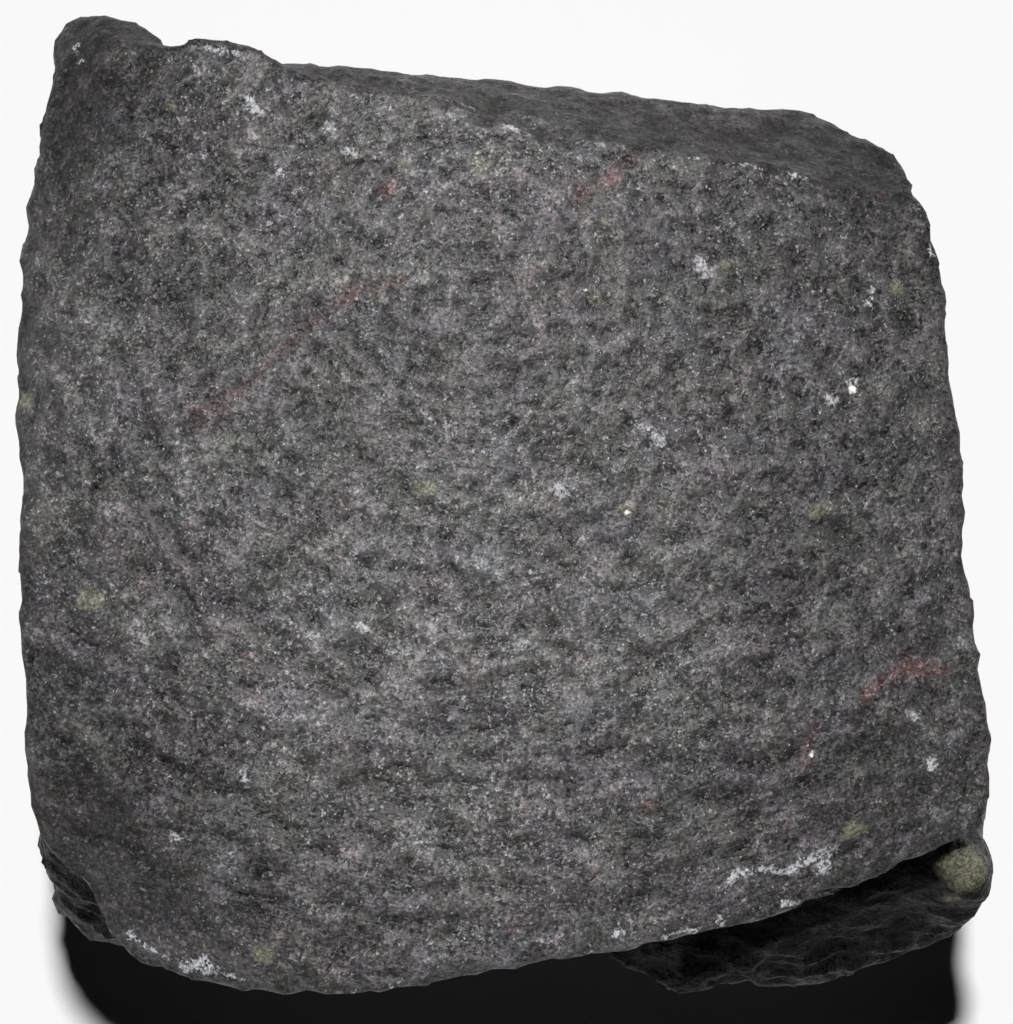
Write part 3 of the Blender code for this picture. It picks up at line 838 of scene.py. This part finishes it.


# %% [markdown]
# ## The grey of the rock
#
# On the stone the grey is no single colour: pale laths lie beside black grains, and crests are painted
# lighter and pits darker for the light that falls on them. A colour ramp over one noise would look like
# paint. Here all of that is added up as a tone, and a power turns the tone into a brightness, so that a step
# of tone changes the light by the same ratio everywhere.
#
# Two faint drifts of tint lie over it, one from green to purple and one from straw to blue.

# %% The grey of the rock
ROCK_BRIGHTNESS = 0.052
PAINTED_FALLOFF_SHARE = 0.55  # how bright the painted falloff leaves the colour away from the lit middle
STEEP_SHARE = 0.65  # painted shade: how bright the colour stays where the face slopes
ROCK_CONTRAST = 4.0  # how many times brighter a tone of 1 is than a tone of 0
TONE_MIDDLE = 0.60  # what the crystals' random numbers add up to on average
GREENISH, PURPLISH = (0.975, 1.025, 0.955, 1.0), (1.09, 0.945, 0.995, 1.0)
STRAW, BLUISH = (1.035, 1.0, 0.915, 1.0), (0.985, 0.98, 1.12, 1.0)


def rock_tone(tree, rock):
    """How light each grain is: crystals, felt, clots and clouds, with painted light on the crests and painted
    shade in pits and crevices.
    """
    # painted light and shade of the small relief: crests lighter, pits darker
    tone = attribute(tree, "small_relief")
    for value, share in (
        (rock.grain, 0.45),
        (rock.fine, 0.82),
        (rock.felt, 1.05),
        (rock.ragged, 0.95),
        # painted shade in the crevices, where the ragged bump is low
        (ramp(tree, rock.ragged, -0.12, -0.55), -0.40),
        (rock.clots, 0.32),
        (rock.cloud, 0.40),
    ):
        tone = times_plus(tree, value, share, tone)
    tone = calc(tree, "SUBTRACT", tone, TONE_MIDDLE)
    # the tones differ a little more where the painted light has fallen off
    return times(tree, tone, times_plus(tree, attribute(tree, "painted_lit_middle"), -0.2, 1.2))


def drifting_tint(tree, drift, cloud, first, second):
    """A faint drift from one tint to the other, that the clouds take part in."""
    drift = times_plus(tree, cloud, 0.6, drift)
    return colour_mix(tree, ramp(tree, drift, -0.7, 0.7), first, second)


def rock_grey(tree, rock):
    """The colour without marks, with its painted light falloff and painted shade in it. It also notes how
    much of both the rock gets.
    """
    painted_lit_middle = times_plus(tree, attribute(tree, "painted_lit_middle"), 1.0 - PAINTED_FALLOFF_SHARE, PAINTED_FALLOFF_SHARE)
    level = times_plus(tree, attribute(tree, "level_face"), 1.0 - STEEP_SHARE, STEEP_SHARE)
    # painted light and shade: the falloff from the lit middle, the darker slopes and the stored painted shade
    # darken the colour, and lower the specular level too
    rock.lit = calc(tree, "SUBTRACT", 1.0, attribute(tree, "shade"))
    rock.gloss = times(tree, times(tree, painted_lit_middle, level), rock.lit)
    brightness = calc(tree, "POWER", ROCK_CONTRAST, rock_tone(tree, rock))
    brightness = times(tree, times(tree, brightness, ROCK_BRIGHTNESS), rock.gloss)

    felt = times(tree, rock.felt_two, 0.5)
    drift = times_plus(tree, attribute(tree, "drift"), 0.5, felt)
    drift = times_plus(tree, rock.ragged_two, 0.9, drift)
    tint = drifting_tint(tree, drift, rock.cloud_two, GREENISH, PURPLISH)
    cold = times_plus(tree, rock.felt_three, 0.5, rock.ragged_three)
    cast = drifting_tint(tree, cold, rock.cloud_three, STRAW, BLUISH)
    return vector_calc(tree, "SCALE", vector_calc(tree, "MULTIPLY", tint, cast), brightness)


# %% [markdown]
# ## Rust and weathered olivine
#
# Iron stains the healed cracks red, and olivine weathers to a yellow-green crust. Neither hides the grain of
# the rock. So the rust multiplies the grey instead of covering it, and the olivine is patchy. Noise that is
# added to the stored distance, before it becomes a mask, gives both a ragged border.

# %% Rust and olivine
RUST_STAIN = (1.95, 0.86, 0.80, 1.0)  # multiplies the rock's colour
RUST = (0.16, 0.06, 0.05, 1.0)
DARK_OLIVINE, PALE_OLIVINE = (0.085, 0.082, 0.055, 1.0), (0.25, 0.24, 0.17, 1.0)


def with_rust(tree, rock, colour):
    """Rusty veins stain the crystals that they cross."""
    vein = times_plus(tree, rock.ragged, 1.1, attribute(tree, "iron_vein"))
    vein = times(tree, ramp(tree, vein, 0.9, -0.5), ramp(tree, rock.felt_two, -0.4, 0.4, 0.3, 1.0))
    vein = times(tree, vein, ramp(tree, rock.clots, -0.35, 0.35, 0.25, 0.95))
    stained = colour_mix(tree, 1.0, colour, RUST_STAIN, "MULTIPLY")
    return colour_mix(tree, vein, colour, colour_mix(tree, 0.12, stained, RUST))


def with_olivine(tree, rock, colour):
    """Yellow-green weathered olivine, in spots and over the corner knob."""
    spots = times_plus(tree, rock.ragged_two, 0.9, attribute(tree, "olivine"))
    patchy = ramp(tree, rock.felt_two, -0.5, 0.5, 0.25, 0.9)
    spots = times(tree, ramp(tree, spots, 0.45, -0.3), patchy)
    knob = times_plus(tree, rock.ragged, 1.6, attribute(tree, "knob"))
    patchy = ramp(tree, rock.felt_two, -0.5, 0.4, 0.25, 0.9)
    knob = times(tree, ramp(tree, knob, 0.9, -1.2), patchy)
    olivine = colour_mix(tree, rock.fine, DARK_OLIVINE, PALE_OLIVINE)
    return colour_mix(tree, calc(tree, "MAXIMUM", spots, knob), colour, olivine)


# %% [markdown]
# ## Bruises and flashing crystals
#
# Where something hard touched the rock, its crystals are crushed to white specks, which lie closer together
# towards the middle of a mark. So a mark is not filled with white: it only lets more of the specks through.
#
# The feldspar grains that flash could be left to gloss alone, but then they would vanish from most sides. So
# their glints are painted: a pale colour on a few crystals gives the same sparkle from everywhere.

# %% White bruises and crystals that flash
# pale specks: crushed crystals, and a painted highlight on edges and rims
CRUSHED_AND_EDGE_LIGHT = (0.43, 0.44, 0.46, 1.0)
# painted glints: pale colours that stand in for crystal faces that catch the light
FELDSPAR_GLINT = (0.48, 0.48, 0.49, 1.0)
BRIGHT_CRYSTAL_GLINT = (0.85, 0.83, 0.78, 1.0)
FLASHING_FROM = 0.955  # crystals whose random number is above this one flash


def with_bruises_and_edge_light(tree, rock, colour):
    """Crushed crystals: a swarm of pale specks along the marks and on every sharp edge, which also paint the
    highlight that rims and edges catch.
    """
    crushed_and_rim_light = times_plus(tree, rock.ragged_two, 0.8, attribute(tree, "bruise_and_rim_light"))
    crushed_and_rim_light = times(tree, ramp(tree, crushed_and_rim_light, 0.55, -0.30), 1.25)
    # on sharp edges the specks are crushed crystals and also a painted highlight that the edges catch
    worn_and_lit_edge = times_plus(tree, rock.ragged, 0.15, attribute(tree, "edge"))
    worn_and_lit_edge = times(tree, ramp(tree, worn_and_lit_edge, 0.15, 0.40), 0.62)
    rock.swarm = calc(tree, "MAXIMUM", crushed_and_rim_light, worn_and_lit_edge)
    speck = times_plus(tree, rock.felt, 0.8, times_plus(tree, rock.fine_two, 0.9, -0.45))
    speck = times_plus(tree, rock.clots, 0.35, speck)
    white = ramp(tree, calc(tree, "ADD", speck, rock.swarm), 0.55, 1.75)

    # where the painted light falls off fewer crystals catch the light, and in the painted shade none do
    rock.fewer = ramp(tree, rock.gloss, 0.05, 0.90)
    kept = calc(tree, "MAXIMUM", rock.fewer, times(tree, rock.swarm, 1.3, clamp=True))
    white = times(tree, white, kept)
    white = times(tree, white, ramp(tree, rock.lit, 0.05, 0.50))
    return colour_mix(tree, white, colour, CRUSHED_AND_EDGE_LIGHT)


def with_flashes(tree, rock, colour):
    """Painted glints: grains of feldspar in clumps, single bright points between them, and the few large
    bright crystals.
    """
    clump = times_plus(tree, rock.felt_two, 1.1, times(tree, rock.grain_two, 0.5))
    clump = times_plus(tree, rock.fine_two, 0.6, clump)
    clump = ramp(tree, times_plus(tree, rock.clots, 0.35, clump), 0.88, 1.42)
    point = times(tree, ramp(tree, rock.from_fine, 0.55, 0.25), rock.grain_two)
    point = times(tree, point, ramp(tree, rock.fine_two, FLASHING_FROM, 1.0))
    flash = calc(tree, "MAXIMUM", times(tree, clump, 0.68), point)
    flash = times(tree, flash, ramp(tree, rock.upper_face, 0.0, 0.8, 0.35, 1.0))
    colour = colour_mix(tree, times(tree, flash, rock.fewer), colour, FELDSPAR_GLINT)
    bright = times_plus(tree, rock.felt, 0.35, attribute(tree, "crystal"))
    return colour_mix(tree, ramp(tree, bright, 0.22, 0.02), colour, BRIGHT_CRYSTAL_GLINT)


# %% [markdown]
# ## Gloss and the finest relief
#
# A broken crystal is a small mirror that leans its own way. A bump texture alone would round the grains off.
# Here each crystal leans the normal by its own random amount, and a fine bump lies over that.

# %% Gloss and the relief too fine for the mesh
GLOSS = 0.45  # of the lit middle, as a specular level
ROUGHNESS = (0.36, 0.52)  # from one crystal to another
CRUSHED_ROUGHER = 0.25
RAGGED_HEIGHT, FELT_HEIGHT = 0.24, 0.03  # in millimetres
CRYSTAL_LEAN, FINE_CRYSTAL_LEAN = 0.38, 0.55  # how far the crystals' faces lean, as a share of the normal


def crystal_roughness(tree, rock):
    least, most = ROUGHNESS
    rough = times_plus(tree, rock.grain_two, most - least, least)
    return times_plus(tree, rock.swarm, CRUSHED_ROUGHER, rough, clamp=True)


def crystal_faces(tree, rock):
    """The normal: the surface's own, leaning with each crystal, under a fine bump."""
    facing = out(add(tree, "ShaderNodeNewGeometry"), "Normal")
    facing = vector_calc(tree, "MULTIPLY_ADD", rock.grain_lean, (CRYSTAL_LEAN,) * 3, facing)
    facing = vector_calc(tree, "MULTIPLY_ADD", rock.fine_lean, (FINE_CRYSTAL_LEAN,) * 3, facing)
    facing = vector_calc(tree, "NORMALIZE", facing)
    height = times(tree, rock.felt, FELT_HEIGHT)
    height = times_plus(tree, rock.ragged, RAGGED_HEIGHT, height)
    bump = add(tree, "ShaderNodeBump", {"Strength": 1.0, "Distance": MM, "Height": height, "Normal": facing})
    return bump.outputs["Normal"]


# %% The basalt material
def build_basalt(material):
    tree = material.node_tree
    shader = tree.nodes["Principled BSDF"]
    rock = rock_textures(tree)
    colour = rock_grey(tree, rock)
    for layer in (with_rust, with_olivine, with_bruises_and_edge_light, with_flashes):
        colour = layer(tree, rock, colour)
    tree.links.new(colour, shader.inputs["Base Color"])
    tree.links.new(crystal_roughness(tree, rock), shader.inputs["Roughness"])
    tree.links.new(times(tree, rock.gloss, GLOSS), shader.inputs["Specular IOR Level"])
    tree.links.new(crystal_faces(tree, rock), shader.inputs["Normal"])


build_basalt(basalt)
print("basalt nodes:", len(basalt.node_tree.nodes))

# %% [markdown]
# ## Into the frame
#
# The finished skin replaces the coarse solid and rides on its only body.

# %% Replace the solid
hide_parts("basalt_stone")
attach(stone, "root")

# %% [markdown]
# ## The floor
#
# The stone lies on a plain white surface. One large square with a dull white finish is all that it takes.

# %% The floor
FLOOR_SIZE = 6.0
FLOOR_WHITE = (0.82, 0.815, 0.82, 1.0)
FLOOR_ROUGHNESS = 0.9
floor_mesh = bpy.data.meshes.new("floor")
half = FLOOR_SIZE / 2
corners = [(-half, -half, 0), (half, -half, 0), (half, half, 0), (-half, half, 0)]
floor_mesh.from_pydata(corners, [], [(0, 1, 2, 3)])
floor = placed("floor", floor_mesh)
white = bpy.data.materials.new("white_surface")
white.use_nodes = True
white_shader = white.node_tree.nodes["Principled BSDF"]
white_shader.inputs["Base Color"].default_value = FLOOR_WHITE
white_shader.inputs["Roughness"].default_value = FLOOR_ROUGHNESS
floor_mesh.materials.append(white)

# %% [markdown]
# ## The light
#
# The light comes from beside the camera, a little towards the upper edge of the picture, so the shadow falls
# towards the lower edge. The shadow is a little wider than the stone and its borders are soft, so the lamp
# was small and less than a metre away.
#
# So near a lamp would leave the floor bright below it and dark further off. Its light nodes take both causes
# out: the falloff with distance, and the slant at which the light meets the floor. The floor is then one even
# pale tone, also when it is seen from the side.
#
# Four low soft boxes are linked to the stone alone: they show its sides and leave the shadow on the floor
# deep. The pale room is there for the camera and gives next to no light.

# %% The lamp
LAMP_TILT = math.radians(21.0)  # the light comes from this far beyond straight above, towards +Y
LAMP_DISTANCE = 0.88  # the photo's shadow is a little wider than the stone, so the lamp is near
LAMP_POWER = 45.5
LAMP_RADIUS = 0.03
LEAST_SLANT = 0.1  # keeps the division below finite for light that only grazes the floor


def light_at(name, kind, power, place, back, **settings):
    """A light at a place. Its back points the given way, so it shines the other way."""
    data = bpy.data.lights.new(name, kind)
    data.energy = power
    for key, value in settings.items():
        setattr(data, key, value)
    made = placed(name, data)
    made.location = place
    made.rotation_euler = back.to_track_quat("Z", "Y").to_euler()
    # a rough stone gains nothing from this way of sampling a light, and it takes time
    data.cycles.use_multiple_importance_sampling = False
    return made


def even_out(light):
    """Takes the falloff with distance and the slant on a level floor out of a light."""
    light.data.use_nodes = True
    tree = light.data.node_tree
    falloff = add(tree, "ShaderNodeLightFalloff", {"Strength": 1.0, "Smooth": 0.0})
    arriving = out(add(tree, "ShaderNodeNewGeometry"), "Incoming")
    slant = add(tree, "ShaderNodeSeparateXYZ", {"Vector": arriving}).outputs["Z"]
    slant = calc(tree, "MAXIMUM", calc(tree, "ABSOLUTE", slant), LEAST_SLANT)
    even = calc(tree, "DIVIDE", falloff.outputs["Constant"], slant)
    tree.links.new(even, tree.nodes["Emission"].inputs["Strength"])


upwards = Vector((0.0, math.sin(LAMP_TILT), math.cos(LAMP_TILT)))
lamp_place = Vector((0.0, 0.0, high.z)) + upwards * LAMP_DISTANCE
lamp = light_at("lamp", "POINT", LAMP_POWER, lamp_place, upwards, shadow_soft_size=LAMP_RADIUS)
even_out(lamp)
print("lamp at", [round(value, 3) for value in lamp.location], "m")

# %% Four soft boxes for the sides
SOFT_BOX_POWER = 4.3
SOFT_BOX_SIZE = (0.9, 0.3)
SOFT_BOX_DISTANCE = 0.9
SOFT_BOX_HEIGHT = 0.16
SOFT_BOX_DIP = 0.13  # how far each one looks down, as a slope

only_stone = bpy.data.collections.new("lit_by_the_soft_boxes")
only_stone.objects.link(stone)
wide, tall = SOFT_BOX_SIZE
for turn in range(4):
    outwards = Vector((math.sin(turn * math.pi / 2), -math.cos(turn * math.pi / 2), 0.0))
    place = outwards * SOFT_BOX_DISTANCE + Vector((0.0, 0.0, SOFT_BOX_HEIGHT))
    back = outwards + Vector((0.0, 0.0, SOFT_BOX_DIP))
    settings = {"shape": "RECTANGLE", "size": wide, "size_y": tall}
    box = light_at(f"soft_box_{turn}", "AREA", SOFT_BOX_POWER, place, back, **settings)
    box.light_linking.receiver_collection = only_stone

# %% The pale room
ROOM_TINT = (0.93, 0.94, 0.96, 1.0)
ROOM_SEEN = 0.932  # its strength for the camera
ROOM_GLOW = 0.001  # its strength as a light

world = bpy.data.worlds.new("pale_room")
world.use_nodes = True
bpy.context.scene.world = world
world.cycles.sampling_method = "NONE"  # the room gives next to no light, so nothing is aimed at it
sky = world.node_tree.nodes["Background"]
sky.inputs["Color"].default_value = ROOM_TINT
seen = add(world.node_tree, "ShaderNodeLightPath").outputs["Is Camera Ray"]
strength = times_plus(world.node_tree, seen, ROOM_SEEN, ROOM_GLOW)
world.node_tree.links.new(strength, sky.inputs["Strength"])

# %% [markdown]
# ## The camera
#
# The camera looks straight down. Its height and lens follow from how much of the sides shows: beyond the
# upper rim a strip of the back is visible, and beyond the other rims nothing is.

# %% The camera
CAMERA_DISTANCE = 0.360  # from the upper face
FOCAL_PIXELS = 4433.0  # how many pixels one unit of slope spans
PICTURE_HEIGHT = 1024
FILM_WIDTH = 36.0  # in millimetres, as wide as the picture is high, because that is its longer side
CAMERA_SHIFT = 0.00035  # towards +Y

camera_data = bpy.data.cameras.new("camera")
camera_data.sensor_width = FILM_WIDTH
camera_data.lens = FILM_WIDTH * FOCAL_PIXELS / PICTURE_HEIGHT
camera_data.clip_start = 0.01
camera = placed("camera", camera_data)
camera.location = (0.0, CAMERA_SHIFT, high.z + CAMERA_DISTANCE)
bpy.context.scene.camera = camera
bpy.context.scene.view_settings.view_transform = "Standard"
